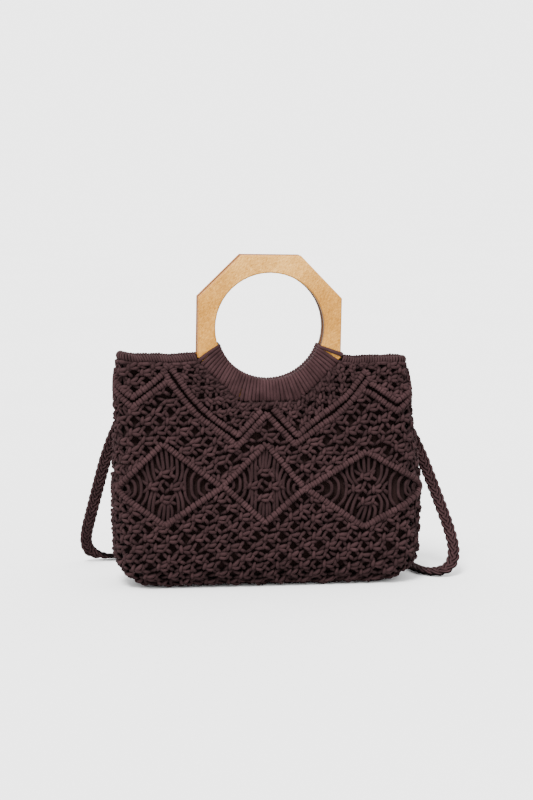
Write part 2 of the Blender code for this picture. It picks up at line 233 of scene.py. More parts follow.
# One knot in millimetres from its middle: along, up and out, with the strand's radius
KNOT = (
    ((-5.6, -3.8, -3.2, 1.2), (-5.9, -2.2, -1.0, 1.7), (-5.2, 0.2, -0.2, 1.85), (-4.5, 2.4, -1.0, 1.7),
     (-3.4, 3.8, -3.2, 1.2)),
    ((-4.4, -0.1, -2.4, 1.2), (-2.6, 0.7, -0.7, 1.75), (0.4, 2.2, 0.0, 1.95), (3.0, 3.4, -0.8, 1.75),
     (4.6, 3.9, -2.8, 1.2)),
    ((-4.6, -1.2, -2.6, 1.2), (-2.8, -1.8, -0.9, 1.7), (0.4, -2.5, -0.4, 1.85), (3.0, -2.8, -1.0, 1.7),
     (4.7, -2.6, -2.8, 1.2)),
    ((2.6, -3.6, -3.6, 1.1), (4.0, -2.2, -1.7, 1.5), (5.2, 0.0, -1.0, 1.65), (6.1, 2.2, -1.7, 1.5),
     (6.2, 4.0, -3.6, 1.1)),
    ((4.3, 0.8, -3.4, 1.1), (6.1, 2.2, -2.2, 1.6), (7.8, 3.8, -1.9, 1.7), (9.4, 5.5, -2.8, 1.55),
     (10.7, 6.9, -4.3, 1.1)),
    ((4.2, -0.2, -3.2, 1.1), (6.0, -1.0, -1.8, 1.6), (8.0, -2.5, -1.5, 1.75), (9.8, -4.5, -2.7, 1.65),
     (11.1, -6.6, -4.3, 1.1)),
    ((-12.4, 6.7, -4.4, 1.2), (-10.6, 4.9, -3.1, 1.55), (-8.8, 3.1, -2.4, 1.65), (-7.1, 1.6, -2.5, 1.6),
     (-5.2, 0.4, -3.6, 1.2)),
    ((-5.2, -0.6, -3.6, 1.2), (-7.2, -1.9, -2.4, 1.6), (-9.0, -3.4, -2.3, 1.65), (-10.8, -5.0, -3.1, 1.55),
     (-12.6, -6.9, -4.4, 1.2)),
)
STRAND_STATIONS = 6
STRAND_SIDES = 8
# A strand's radius in its middle and how much it tapers, as shares
STRAND_FULL = 1.10
STRAND_TAPER = 0.34
# How much strands and knots differ by chance, in millimetres, shares and radians
STRAND_SHIFT = 0.30
STATION_SHIFT = 0.10
STRAND_SIZE = (1.05, 0.04)
STRAND_SPIN = 0.17
KNOT_TILT = 0.07
KNOT_SHIFT = 0.3
KNOT_LIFT = 0.15

# The body's cross-sections, as in the solid model, at shares of its height
Section = namedtuple("Section", "height width depth corner bulge")
SECTIONS = (
    Section(0.00, 0.985, 0.97, 0.72, 0.04),
    Section(0.17, 0.997, 1.00, 0.74, 0.07),
    Section(0.42, 1.000, 0.86, 0.78, 0.12),
    Section(0.62, 0.992, 0.62, 0.86, 0.12),
    Section(0.77, 0.982, 0.40, 0.95, 0.07),
    Section(1.00, 0.965, 0.35, 1.00, 0.03),
)
# How far the rim sags at places across, and how far the sides lean in at heights, in millimetres
SAG = (
    (-150, -2.0), (-142, -1.5), (-133, 0.5), (-122, 1.5), (-105, 1.0), (-90, 2.5), (-78, 1.0), (-66, 0),
    (68, 0), (76, 4.5), (88, 6.0), (102, 6.0), (114, 5.4), (126, 5.2), (136, 5.6), (142, 7.2), (150, 8.5),
)
LEAN_RIGHT = (
    (0, -2.5), (25, -4.0), (45, -2.5), (65, -3.5), (85, -4.5), (105, -3.5),
    (135, -1.5), (165, 1.5), (185, 1.8), (205, 4.0), (215, 5.3), (232, 6.6),
)
LEAN_LEFT = (
    (0, -2.5), (25, -1.0), (45, -1.0), (65, -2.0), (105, -1.5), (135, -1.0),
    (165, -1.5), (185, -2.8), (205, -2.0), (215, -1.5), (232, -2.8),
)
# The sag dies out down the walls with this power of the height
SAG_POWER = 12


# Skin of the bag


def section_curve(shares, column):
    """One column of the sections' table, smooth over shares of the body's height."""
    table = np.array(SECTIONS)
    x, y = table[:, 0], table[:, column]
    slopes = np.empty(len(x))
    slopes[1:-1] = (y[2:] - y[:-2]) / (x[2:] - x[:-2])
    slopes[0] = (y[1] - y[0]) / (x[1] - x[0])
    slopes[-1] = (y[-1] - y[-2]) / (x[-1] - x[-2])
    low = np.clip(np.searchsorted(x, shares, side="right") - 1, 0, len(x) - 2)
    span = x[low + 1] - x[low]
    t = np.clip((shares - x[low]) / span, 0, 1)
    curve = (2 * t**3 - 3 * t**2 + 1) * y[low] + (3 * t**2 - 2 * t**3) * y[low + 1]
    curve += (t**3 - 2 * t**2 + t) * span * slopes[low]
    return curve + (t**3 - t**2) * span * slopes[low + 1]


class Profile:
    """The bag's sizes at distances up its skin, from the edge of the flat base to the rim."""

    def __init__(self):
        level = np.linspace(0, 2, 801)
        self.lean = np.maximum(0, 1 - level) * np.pi / 2
        self.rise = BASE_ROUND_HEIGHT * (1 - np.sin(self.lean))
        self.rise += np.maximum(0, level - 1) * (WALL_TOP - BASE_ROUND_HEIGHT)
        shares = self.rise / BODY_HEIGHT
        half = BODY_DEPTH / 2 * section_curve(shares, 2)
        self.bulge = half * section_curve(shares, 4)
        inset = 1 - np.cos(self.lean)
        self.half_width = BODY_WIDTH / 2 * section_curve(shares, 1) - BASE_ROUND_SIDE * inset
        self.half_depth = half - self.bulge - BASE_ROUND_FRONT * inset
        self.corner = self.half_depth * section_curve(shares, 3)
        middle = self.half_depth + self.bulge
        steps = np.hypot(np.diff(self.rise), np.diff(middle))
        self.climb = np.concatenate([[0], np.cumsum(steps)])
        self.top = self.climb[-1]

    def at(self, climb):
        names = ("lean", "rise", "bulge", "half_width", "half_depth", "corner")
        return [np.interp(climb, self.climb, getattr(self, name)) for name in names]

    def climb_at(self, rise):
        return np.interp(rise, self.rise, self.climb)


PROFILE = Profile()


def skin(column, climb, out):
    """Points of the bag's skin: column counts knots from the front's middle towards +X."""
    column, climb, out = np.broadcast_arrays(
        np.asarray(column, float), np.asarray(climb, float), np.asarray(out, float)
    )
    lean, rise, bulge, half_width, half_depth, corner = PROFILE.at(climb)
    quarter, local = np.divmod(column % COLUMNS, QUARTER_COLUMNS)
    local = np.where(quarter % 2 == 0, local, QUARTER_COLUMNS - local)
    straight_x, straight_y = half_width - corner, half_depth - corner
    turn = corner * np.pi / 2
    total = straight_x + turn + straight_y
    front = np.minimum(FRONT_COLUMNS * COLUMN, total * FRONT_MOST)
    side = (total - front) / (QUARTER_COLUMNS - FRONT_COLUMNS)
    beyond = front + (local - FRONT_COLUMNS) * side
    walked = np.where(local < FRONT_COLUMNS, local / FRONT_COLUMNS * front, beyond)
    push = out * np.cos(lean)
    angle = np.clip((walked - straight_x) / np.maximum(corner, 1e-6), 0, np.pi / 2)
    x = np.where(walked < straight_x, walked, straight_x + (corner + push) * np.sin(angle))
    y = straight_y + (corner + push) * np.cos(angle)
    y = y - np.maximum(0, walked - straight_x - turn)
    crown = 1 - (x / (half_width + push)) ** 2
    y = y * (1 + bulge * crown / (half_depth + push))
    x = np.where((quarter == 0) | (quarter == 1), x, -x)
    y = np.where((quarter == 1) | (quarter == 2), y, -y)
    z = rise - out * np.sin(lean)
    return np.stack([leaned(x, z), y, z - sag(x) * np.clip(z / BODY_HEIGHT, 0, 1) ** SAG_POWER], axis=-1)


def on_skin(column, climb, out, lift=MM):
    """Points of the skin, and the directions out of it there."""
    places = skin(column, climb, out)
    return places, unit(skin(column, climb, out + lift) - places)


def sag(x):
    """How far the rim hangs down at a place across."""
    return np.interp(x / MM, *zip(*SAG)) * MM


def leaned(x, z):
    """A place across, moved in or out with the bag's uneven sides."""
    right = np.interp(z / MM, *zip(*LEAN_RIGHT))
    left = np.interp(z / MM, *zip(*LEAN_LEFT))
    outer = np.clip(np.abs(x) / (BODY_WIDTH / 2), 0, 1) ** 3
    return x - np.where(x > 0, right, -left) * outer * MM


def column_at(x, climb):
    """The column, counted from the middle, of a place x across the front at this height."""
    _, _, _, half_width, half_depth, corner = PROFILE.at(climb)
    total = half_width + half_depth - corner * (2 - np.pi / 2)
    return x / np.minimum(FRONT_COLUMNS * COLUMN, total * FRONT_MOST) * FRONT_COLUMNS


# Lines


def walked_along(points):
    """Distances walked along rows of points."""
    return np.concatenate([[0], np.cumsum(np.linalg.norm(np.diff(points, axis=0), axis=1))])


def read_at(places, along, points):
    """Points at distances along a line."""
    return np.stack([np.interp(places, along, line) for line in np.transpose(points)], axis=1)


def run_on(points):
    """A line with one more point before and after it."""
    points = np.asarray(points, float)
    return np.concatenate([[2 * points[0] - points[1]], points, [2 * points[-1] - points[-2]]])


def resampled(points, stations):
    """A smooth curve through rows of numbers, read at even steps of its parameter."""
    place = np.linspace(0, len(points) - 1, stations)
    low = np.minimum(place.astype(int), len(points) - 2)
    t = (place - low)[:, None]
    a, b, c, d = (run_on(points)[low + i] for i in range(4))
    return 0.5 * (2 * b + (c - a) * t + (2 * a - 5 * b + 4 * c - d) * t**2 + (3 * b - a - 3 * c + d) * t**3)


def turned(x, y, angle):
    return x * np.cos(angle) - y * np.sin(angle), x * np.sin(angle) + y * np.cos(angle)


def unit(vectors):
    return vectors / np.maximum(np.linalg.norm(vectors, axis=-1, keepdims=True), 1e-9)


# Strands, the tubes that all cords are made of

# Painted shade and light from a strand's height: darker with depth over SHADE_DEPTH millimetres down to
# SHADE_LEAST, lighter when raised up to SHADE_MOST
SHADE_DEPTH = 8.0
SHADE_LEAST = 0.25
SHADE_MOST = 1.08
UV_LENGTH = 0.01


class Strands:
    """Collects tubes and makes them into one mesh."""

    def __init__(self):
        self.groups = {}

    def add(self, points, normals, wide, thick=None, closed=False, heights=0.0):
        """Tubes along rows of points, each an array of tubes, stations and three numbers.

        heights are millimetres out from the skin: what lies deeper gets painted shade in its colour, and what
        stands out gets a little painted light.
        """
        points = points if points.ndim == 3 else points[None]
        count, stations = points.shape[:2]
        normals = np.broadcast_to(normals, points.shape)
        wide = np.broadcast_to(wide, (count, stations))
        thick = wide if thick is None else np.broadcast_to(thick, (count, stations))
        shade = np.clip(1 + np.asarray(heights, float) / SHADE_DEPTH, SHADE_LEAST, SHADE_MOST)
        shade = np.broadcast_to(shade, (count, stations))
        self.groups.setdefault((stations, closed), []).append((points, normals, wide, thick, shade))

    def mesh(self, name, material):
        verts, quads, caps, uvs, shades = [], [], [], [], []
        start = 0
        around = np.arange(STRAND_SIDES + 1) / STRAND_SIDES
        turn = around[:-1] * 2 * np.pi
        for (stations, closed), parts in self.groups.items():
            points, normals, wide, thick, shade = (np.concatenate(kind) for kind in zip(*parts))
            shades.append(np.repeat(shade.ravel(), STRAND_SIDES))
            if closed:
                tangents = unit(np.roll(points, -1, axis=1) - np.roll(points, 1, axis=1))
            else:
                tangents = unit(np.gradient(points, axis=1))
            aside = unit(np.cross(tangents, normals))
            outward = np.cross(aside, tangents)
            ring = points[:, :, None] + (wide[..., None] * np.cos(turn))[..., None] * aside[:, :, None]
            ring += (thick[..., None] * np.sin(turn))[..., None] * outward[:, :, None]
            verts.append(ring.reshape(-1, 3))
            count, spans = len(points), stations if closed else stations - 1
            index = start + np.arange(count * stations * STRAND_SIDES).reshape(count, stations, -1)
            start += index.size
            low, high = index[:, :spans], np.roll(index, -1, axis=1)[:, :spans]
            quad = np.stack([low, np.roll(low, -1, axis=2), np.roll(high, -1, axis=2), high], axis=-1)
            quads.append(quad.reshape(-1, 4))
            if not closed:
                caps += [index[:, 0, ::-1], index[:, -1]]
            steps = np.linalg.norm(np.diff(points, axis=1, append=points[:, :1]), axis=-1)
            along = np.concatenate([np.zeros((count, 1)), np.cumsum(steps, axis=1)], axis=1) / UV_LENGTH
            corner = np.empty((*quad.shape, 2))
            corner[..., 0, 0] = corner[..., 3, 0] = around[:-1]
            corner[..., 1, 0] = corner[..., 2, 0] = around[1:]
            corner[..., 0, 1] = corner[..., 1, 1] = along[:, :spans, None]
            corner[..., 2, 1] = corner[..., 3, 1] = along[:, 1 : spans + 1, None]
            uvs.append(corner.reshape(-1, 2))
        faces = [np.concatenate(quads)]
        if caps:
            faces.append(np.concatenate(caps))
            uvs.append(np.zeros((faces[1].size, 2)))
        piece = mesh_piece(name, material, np.concatenate(verts), faces, np.concatenate(uvs))
        # The painted shade and light of each point, which the cord material multiplies into its colour
        layer = piece.data.attributes.new("shade", "FLOAT", "POINT")
        layer.data.foreach_set("value", np.concatenate(shades).astype(np.float32))
        return piece


def mesh_piece(name, material, verts, face_groups, uvs=None):
    """A smooth mesh object from arrays of points and of faces with as many corners each."""
    mesh = bpy.data.meshes.new(name)
    mesh.vertices.add(len(verts))
    mesh.vertices.foreach_set("co", np.asarray(verts, np.float32).ravel())
    corners = np.concatenate([np.asarray(group).ravel() for group in face_groups])
    sizes = np.concatenate([np.full(len(group), group.shape[1]) for group in face_groups])
    starts = np.concatenate([[0], np.cumsum(sizes)[:-1]])
    mesh.loops.add(len(corners))
    mesh.loops.foreach_set("vertex_index", corners.astype(np.int32))
    mesh.polygons.add(len(sizes))
    mesh.polygons.foreach_set("loop_start", starts.astype(np.int32))
    mesh.polygons.foreach_set("use_smooth", np.ones(len(sizes), bool))
    if uvs is not None:
        layer = mesh.uv_layers.new(name="along")
        layer.data.foreach_set("uv", np.asarray(uvs, np.float32).ravel())
    mesh.update(calc_edges=True)
    mesh.materials.append(material)
    piece = bpy.data.objects.new(name, mesh)
    bpy.context.collection.objects.link(piece)
    return piece


def placed(piece, slot, *nodes):
    """A piece put on the root body, with the nodes that it replaces hidden; slot is not used."""
    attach(piece, "root")
    if nodes:
        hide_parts(*nodes)
    return piece


# Materials


def grey(level):
    return (level,) * 3


class Nodes:
    """A short way to build a node material: a value is an output to link or a constant to set."""

    def __init__(self, name):
        self.material = bpy.data.materials.new(name)
        self.material.use_nodes = True
        self.tree = self.material.node_tree

    def give(self, value, socket):
        if isinstance(value, bpy.types.NodeSocket):
            self.tree.links.new(value, socket)
        else:
            socket.default_value = value

    def add(self, kind, **values):
        node = self.tree.nodes.new("ShaderNode" + kind)
        for key, value in values.items():
            if key in node.inputs:
                self.give(value, node.inputs[key])
            else:
                setattr(node, key, value)
        return node

    def surface(self, **values):
        """Fills the shader's sockets, named with _ for a space."""
        shader = self.tree.nodes["Principled BSDF"]
        for key, value in values.items():
            self.give(value, shader.inputs[key.replace("_", " ")])
        return self.material

    def noise(self, coordinate, scale, detail=2.0):
        return self.add("TexNoise", Vector=coordinate, Scale=scale, Detail=detail).outputs["Fac"]

    def bands(self, coordinate, direction, scale, distortion):
        wave = self.add("TexWave", wave_type="BANDS", bands_direction=direction, Vector=coordinate)
        wave.inputs["Scale"].default_value = scale
        wave.inputs["Distortion"].default_value = distortion
        return wave.outputs["Fac"]

    def ramp(self, value, *stops):
        node = self.add("ValToRGB", Fac=value)
        elements = node.color_ramp.elements
        while len(elements) < len(stops):
            elements.new(0.5)
        for element, (place, colour) in zip(elements, stops):
            element.position = place
            element.color = (*colour, 1)
        return node.outputs["Color"]

    def math(self, operation, *values):
        node = self.add("Math", operation=operation)
        for socket, value in zip(node.inputs, values):
            self.give(value, socket)
        return node.outputs["Value"]

    def weighted(self, *terms):
        """The sum of outputs, each times its weight."""
        total = 0.0
        for value, weight in terms:
            total = self.math("MULTIPLY_ADD", value, weight, total)
        return total

    def mix(self, factor, first, second, blend="MIX"):
        node = self.add("Mix", data_type="RGBA", blend_type=blend)
        for place, value in zip((0, 6, 7), (factor, first, second)):
            self.give((*value, 1) if isinstance(value, tuple) else value, node.inputs[place])
        return node.outputs[2]

    def bump(self, height, strength, distance, **after):
        node = self.add("Bump", Height=height, Strength=strength, Distance=distance, **after)
        return node.outputs["Normal"]


CORD_DARK = (0.0105, 0.0052, 0.0055)
CORD_LIGHT = (0.0250, 0.0126, 0.0133)
WRAP_DARK = (0.0130, 0.0061, 0.0065)
WRAP_LIGHT = (0.0300, 0.0146, 0.0156)
BRAID_DARK = (0.0140, 0.0070, 0.0074)
BRAID_LIGHT = (0.0280, 0.0141, 0.0149)
# Grain of the wood: its lean and how much longer than wide it is; then the painted light that brightens its
# upper part
GRAIN_LEAN = math.radians(-48)
GRAIN_LENGTH = 7
WOOD_TOP_PAINTED_LIGHT = (1.32, 1.48, 2.0)
# Painted shade where the two rings face each other
WOOD_SHADE = (0.050, 0.020, 0.008)
# How far the hand hole's painted shade reaches out onto the faces past its wall
BORE_SHADE_REACH = 0.0008


def cord_material(name, dark, light, outward, faces=1):
    """Soft twisted cotton cord, with painted shade darkening it towards its flanks.

    outward is the share round it that faces out, where the painted flank shade is least. With two faces, the
    far side gets as little painted shade and is as light.
    """
    made = Nodes(name)
    place = made.add("TexCoord").outputs
    twist = made.add("Mapping", Vector=place["UV"], Scale=(3, 6, 1)).outputs["Vector"]
    wave = made.bands(twist, "DIAGONAL", 1.0, 0.6)
    patches = made.noise(place["Object"], 90.0, 3.0)
    fuzz = made.noise(place["Object"], 2200.0)
    tone = made.weighted((patches, 0.70), (fuzz, 0.20), (wave, 0.10))
    # Painted shade: the colour darkens towards the cord's flanks, away from the side that faces out, as if
    # shaded in the creases
    around = made.add("SeparateXYZ", Vector=place["UV"]).outputs["X"]
    turn = made.math("MULTIPLY", made.math("SUBTRACT", around, outward), 2 * math.pi * faces)
    facing = made.math("MULTIPLY_ADD", made.math("COSINE", turn), 0.5, 0.5)
    painted_flank_shade = made.ramp(facing, (0.10, grey(0.05)), (0.50, grey(0.30)), (0.85, grey(1.0)))
    # Painted shade where a strand lies deep and painted light where it stands out, read from the shade
    # attribute
    depth = made.add("Attribute", attribute_name="shade").outputs["Color"]
    colour = made.mix(1.0, made.ramp(tone, (0.30, dark), (0.70, light)), painted_flank_shade, "MULTIPLY")
    return made.surface(
        Base_Color=made.mix(1.0, colour, depth, "MULTIPLY"),
        Roughness=made.ramp(fuzz, (0.2, grey(0.78)), (0.8, grey(0.95))),
        Normal=made.bump(fuzz, 0.5, 0.0002, Normal=made.bump(wave, 0.35, 0.0004)),
        Specular_IOR_Level=0.03,
        Sheen_Weight=0.008,
        Sheen_Roughness=0.45,
        Sheen_Tint=(0.62, 0.42, 0.42, 1),
    )


def lining_material():
    """Plain woven fabric with a fine grid of threads, its dark maroon darkened further with painted shade."""
    made = Nodes("lining_fabric")
    place = made.add("TexCoord").outputs["Object"]
    weave = made.math("MULTIPLY", *(made.bands(place, way, 420.0, 0.4) for way in ("X", "Z")))
    shade = made.weighted((weave, 0.4), (made.noise(place, 40.0, 3.0), 0.6))
    return made.surface(
        # The fabric's own dark maroon, made darker still as painted shade for the deep shadow behind the net
        Base_Color=made.ramp(shade, (0.25, (0.0046, 0.0020, 0.0019)), (0.75, (0.0110, 0.0048, 0.0044))),
        Normal=made.bump(weave, 0.4, 0.0003),
        Roughness=0.95,
        Specular_IOR_Level=0.05,
        Sheen_Weight=0.02,
    )


def wood_material():
    """Pale golden wood: fine slanted grain and orange cut edges, with painted light on its upper part and
    painted shade where the two rings face each other and on the hand hole's wall and the faces just around
    it.
    """
    made = Nodes("pale_wood")
    place = made.add("TexCoord").outputs["Object"]
    slant = made.add("Mapping", vector_type="TEXTURE", Vector=place, Rotation=(0, GRAIN_LEAN, 0))
    slant.inputs["Scale"].default_value = (GRAIN_LENGTH, 1, 1)
    grain = slant.outputs["Vector"]
    streaks = made.noise(grain, 2400.0)
    mixed = made.weighted((streaks, 0.66), (made.noise(grain, 160.0), 0.15), (made.noise(place, 28.0), 0.25))
    face = made.ramp(
        mixed, (0.39, (0.150, 0.060, 0.008)), (0.53, (0.258, 0.116, 0.020)), (0.67, (0.385, 0.195, 0.044))
    )
    spot = made.add("SeparateXYZ", Vector=place).outputs
    # Painted light: the wood's upper part is painted lighter, more so towards its top
    tall = made.math("MULTIPLY", made.math("SUBTRACT", spot["Z"], HANDLE_HEIGHT), 1 / HANDLE_FLATS)
    face = made.mix(1.0, face, made.ramp(tall, (0.20, grey(1.0)), (0.46, WOOD_TOP_PAINTED_LIGHT)), "MULTIPLY")
    normal = made.add("NewGeometry").outputs["Normal"]
    forward = made.add("SeparateXYZ", Vector=normal).outputs["Y"]
    # Painted shade on the faces of the two rings that face each other
    between = made.math("LESS_THAN", made.math("MULTIPLY", spot["Y"], forward), -0.001)
    face = made.mix(between, face, WOOD_SHADE)
    flat = made.add("Mapping", Vector=place, Location=(-HANDLE_X, 0, -HANDLE_HEIGHT), Scale=(1, 0, 1))
    reach = made.add("VectorMath", operation="LENGTH")
    made.give(flat.outputs["Vector"], reach.inputs[0])
    # Painted shade: the hand hole's wall and the faces just around its edge take a dark brown
    inside = made.math("LESS_THAN", reach.outputs["Value"], HANDLE_HOLE / 2 + BORE_SHADE_REACH)
    cut = made.mix(
        inside,
        made.ramp(streaks, (0.35, (0.140, 0.050, 0.009)), (0.65, (0.240, 0.095, 0.019))),
        made.ramp(streaks, (0.35, (0.022, 0.009, 0.004)), (0.65, (0.045, 0.020, 0.008))),
    )
    edge = made.ramp(made.math("ABSOLUTE", forward), (0.15, grey(1.0)), (0.85, grey(0.0)))
    return made.surface(
        Base_Color=made.mix(edge, face, cut),
        Roughness=made.ramp(streaks, (0.3, grey(0.42)), (0.7, grey(0.60))),
        Normal=made.bump(streaks, 0.05, 0.0001),
        Specular_IOR_Level=0.02,
    )


def floor_material():
    made = Nodes("studio_floor")
    soft = made.noise(made.add("TexCoord").outputs["Object"], 3.0, 1.0)
    colour = made.ramp(soft, (0.3, grey(FLOOR_TONE - 0.005)), (0.7, grey(FLOOR_TONE + 0.005)))
    return made.surface(Base_Color=colour, Roughness=1.0, Specular_IOR_Level=0.0)


# Camera, lights and floor


def camera():
    azimuth, elevation = math.radians(CAMERA_AZIMUTH), math.radians(CAMERA_ELEVATION)
    back = np.array([
        math.sin(azimuth) * math.cos(elevation),
        -math.cos(azimuth) * math.cos(elevation),
        math.sin(elevation),
    ])
    made = bpy.data.objects.new("camera", bpy.data.cameras.new("camera"))
    bpy.context.collection.objects.link(made)
    made.location = np.array(CAMERA_TARGET) + back * CAMERA_DISTANCE
    made.rotation_euler = (math.pi / 2 - elevation, 0, azimuth)
    made.data.lens = CAMERA_LENS
    made.data.sensor_width = CAMERA_SENSOR
    made.data.shift_x = TARGET_LEFT_OF_MIDDLE / IMAGE_HEIGHT
    made.data.shift_y = TARGET_BELOW_MIDDLE / IMAGE_HEIGHT
    made.data.clip_end = 50
    bpy.context.scene.camera = made


def studio():
    """An even white surround, one broad sun and the floor."""
    world = bpy.data.worlds.new("studio")
    bpy.context.scene.world = world
    world.use_nodes = True
    background = world.node_tree.nodes["Background"]
    background.inputs["Color"].default_value = (1, 1, 1, 1)
    background.inputs["Strength"].default_value = WORLD_STRENGTH
    sun = bpy.data.lights.new("key", "SUN")
    sun.angle = KEY_WIDTH
    sun.energy = KEY_STRENGTH
    key = bpy.data.objects.new("key", sun)
    bpy.context.collection.objects.link(key)
    key.rotation_euler = Vector(KEY_SOURCE).to_track_quat("Z", "Y").to_euler()
    corners = np.array([(-1, -1, 0), (1, -1, 0), (1, 1, 0), (-1, 1, 0)]) * FLOOR_HALF
    mesh_piece("floor", floor_material(), corners, [np.array([[0, 1, 2, 3]])])


# Strap


def smooth_route(points, step):
    """Points at an even step along a cubic B-spline guided by the given ones."""
    padded = run_on(points)
    t = np.linspace(0, 1, 12, endpoint=False)[:, None]
    fine = []
    for a, b, c, d in zip(padded, padded[1:], padded[2:], padded[3:]):
        near = (1 - t) ** 3 * a + (3 * t**3 - 6 * t**2 + 4) * b
        far = (1 + 3 * t + 3 * t**2 - 3 * t**3) * c + t**3 * d
        fine.append((near + far) / 6)
    fine = np.concatenate([*fine, padded[-2:-1]])
    along = walked_along(fine)
    places = np.linspace(0, along[-1], round(along[-1] / step) + 1)
    return read_at(places, along, fine)


def strap_path():
    """The line that the braid follows, from the left knot round to the right one."""
    ends = []
    for name in ("left", "right"):
        low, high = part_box(f"strap_knot_{name}")
        ends.append(np.array([(low[0] + high[0]) / 2, (low[1] + high[1]) / 2, low[2] - CLEARANCE]))
    below = np.array([0, 0, STRAP_DIAMETER])
    smooth = smooth_route([ends[0] - below, *STRAP_ROUTE, ends[1] - below], BRAID_STEP)
    lead = np.linspace(0, 1, LEAD_STEPS + 1)[:-1, None]
    first, last = (end * (1 - lead) + turn * lead for end, turn in zip(ends, (smooth[0], smooth[-1])))
    path = np.concatenate([first, smooth, last[::-1]])
    settle = np.clip((SETTLE_FROM - path[:, 2]) / SETTLE_OVER, 0, 1)
    path[:, 2] -= (STRAP_DIAMETER / 2 + FLOOR_REST - BRAID_LIFT) * settle**2 * (3 - 2 * settle)
    return path


def braid_strap(material):
    """Three strands of paired cords, plaited flat."""
    path = strap_path()
    along = walked_along(path)
    length = along[-1]
    guide = read_at(along / length, *zip(*BRAID_FACING))
    tangents = unit(np.gradient(path, axis=0))
    aside = unit(np.cross(tangents, guide))
    facing = np.cross(aside, tangents)
    strands = Strands()
    wide, thick = (BRAID_CORD / 2 * share for share in BRAID_FLAT)
    reach = BRAID_WIDTH / 2 - BRAID_CORD * BRAID_NESTING
    for strand in range(3):
        phase = 2 * np.pi * (along / BRAID_PERIOD + strand / 3)
        across = reach * np.sin(phase)
        depth = BRAID_WAVE * np.sin(2 * phase)
        centre = path + across[:, None] * aside + depth[:, None] * facing
        way = unit(np.gradient(centre, axis=0))
        beside = unit(np.cross(facing, way))
        for side in (-0.5, 0.5):
            shifted = centre + side * BRAID_CORD * BRAID_NESTING * beside
            strands.add(shifted, facing, wide, thick)
    piece = placed(strands.mesh("braid_strap", material), "cord", "strap")
    return piece


# Knots and nets


def stray(across, climb):
    """Where a place of the even pattern really lies, in metres across and up the skin."""
    rows = [np.interp(across / MM, STRAY_PLACES, row) for row in STRAY_RISE]
    rise = np.interp(climb / MM, STRAY_HEIGHTS, rows) * MM
    wander_x = math.sin(across * 61 + climb * 83) + math.sin(across * 97 - climb * 121 + 2)
    wander_y = math.sin(across * 71 - climb * 67 + 1) + math.sin(across * 113 + climb * 89 + 4)
    calm = 1 - math.exp(-climb / 0.02)
    return across + WANDER * wander_x * calm, climb + rise + WANDER * wander_y * calm


def nearest(places, line):
    """Distances of flat places from a polyline."""
    a, b = line[:-1], line[1:]
    span = b - a
    beside = places[:, None] - a
    t = np.clip((beside * span).sum(2) / (span**2).sum(1), 0, 1)
    return np.min(np.linalg.norm(beside - span * t[..., None], axis=2), axis=1)


def height_of(places, line):
    """How far flat places lie above a zigzag."""
    return places[:, 1] - np.interp(places[:, 0], line[:, 0], line[:, 1])


def octagon_radius(flats, angle):
    """From the middle of a regular octagon to its edge."""
    side = math.pi / 4
    return flats / 2 / np.cos((angle + side / 2) % side - side / 2)


def below_handle(side, angle, out):
    """Places across and up, at angles and distances outside the handle's wrapped edge."""
    radius = octagon_radius(NOTCH_FLATS, angle) + out
    return side * HANDLE_X + radius * np.cos(angle), HANDLE_HEIGHT + radius * np.sin(angle)


def octagon_reach(x, z):
    """How many metres out from the hand hole's centre a place lies, as an across-flats size."""
    angle = np.arctan2(z - HANDLE_HEIGHT, x - HANDLE_X) + HANDLE_ROLL
    return np.hypot(x - HANDLE_X, z - HANDLE_HEIGHT) / octagon_radius(2, angle) * 2


KNOT_CURVES = np.array([resampled(strand, STRAND_STATIONS) for strand in KNOT])
KNOT_CURVES[..., 3] *= STRAND_FULL - STRAND_TAPER * np.linspace(-1, 1, STRAND_STATIONS) ** 2


def add_knot(piece, place, across=1.0, up=1.0, size=1.0, strands=range(len(KNOT))):
    """Adds one knot's strands. place turns flat offsets and heights into points."""
    curves = KNOT_CURVES[list(strands)].copy()
    curves[..., :3] += RANDOM.normal(0, STRAND_SHIFT, (len(curves), 1, 3)) * (1, 1, 0.7)
    curves[..., :3] += RANDOM.normal(0, STATION_SHIFT, curves[..., :3].shape)
    curves[..., 3] *= RANDOM.normal(*STRAND_SIZE, (len(curves), 1)) * size
    spin = RANDOM.normal(0, STRAND_SPIN, (len(curves), 1))
    middle = curves[..., :2].mean(axis=1, keepdims=True)
    aside = turned(*np.moveaxis(curves[..., :2] - middle, -1, 0), spin)
    curves[..., :2] = middle + np.stack(aside, axis=-1)
    tilt = RANDOM.normal(0, KNOT_TILT)
    u = curves[..., 0] * across + RANDOM.normal(0, KNOT_SHIFT)
    w = curves[..., 1] * up + RANDOM.normal(0, KNOT_SHIFT)
    u, w = turned(u, w, tilt)
    h = curves[..., 2] * size + RANDOM.normal(0, KNOT_LIFT)
    points = place(u * MM, w * MM, h * MM)
    normals = unit(place(u * MM, w * MM, (h + 1) * MM) - points)
    # The heights give the knot's lower strands painted shade
    piece.add(points, normals, curves[..., 3] * MM, heights=h)


def outside_diamonds(places):
    """Which flat places lie outside every diamond and its ridge."""
    free = np.ones(len(places), bool)
    for corners in DIAMONDS:
        line = np.array(corners + corners[:1]) * MM
        a, b = line[:-1] - places[:, None], line[1:] - places[:, None]
        turning = a[..., 0] * b[..., 1] - a[..., 1] * b[..., 0]
        free &= ~(turning < 0).all(axis=1) & (nearest(places, line) > RIDGE_MARGIN)
    return free


def below_zigzag(places):
    line = np.array(LOWER_ZIGZAG) * MM
    return (height_of(places, line) < 0) & (nearest(places, line) > RIDGE_MARGIN) & outside_diamonds(places)


def above_zigzag(places):
    line = np.array(UPPER_ZIGZAG) * MM
    return (height_of(places, line) > 0) & (nearest(places, line) > RIDGE_MARGIN)


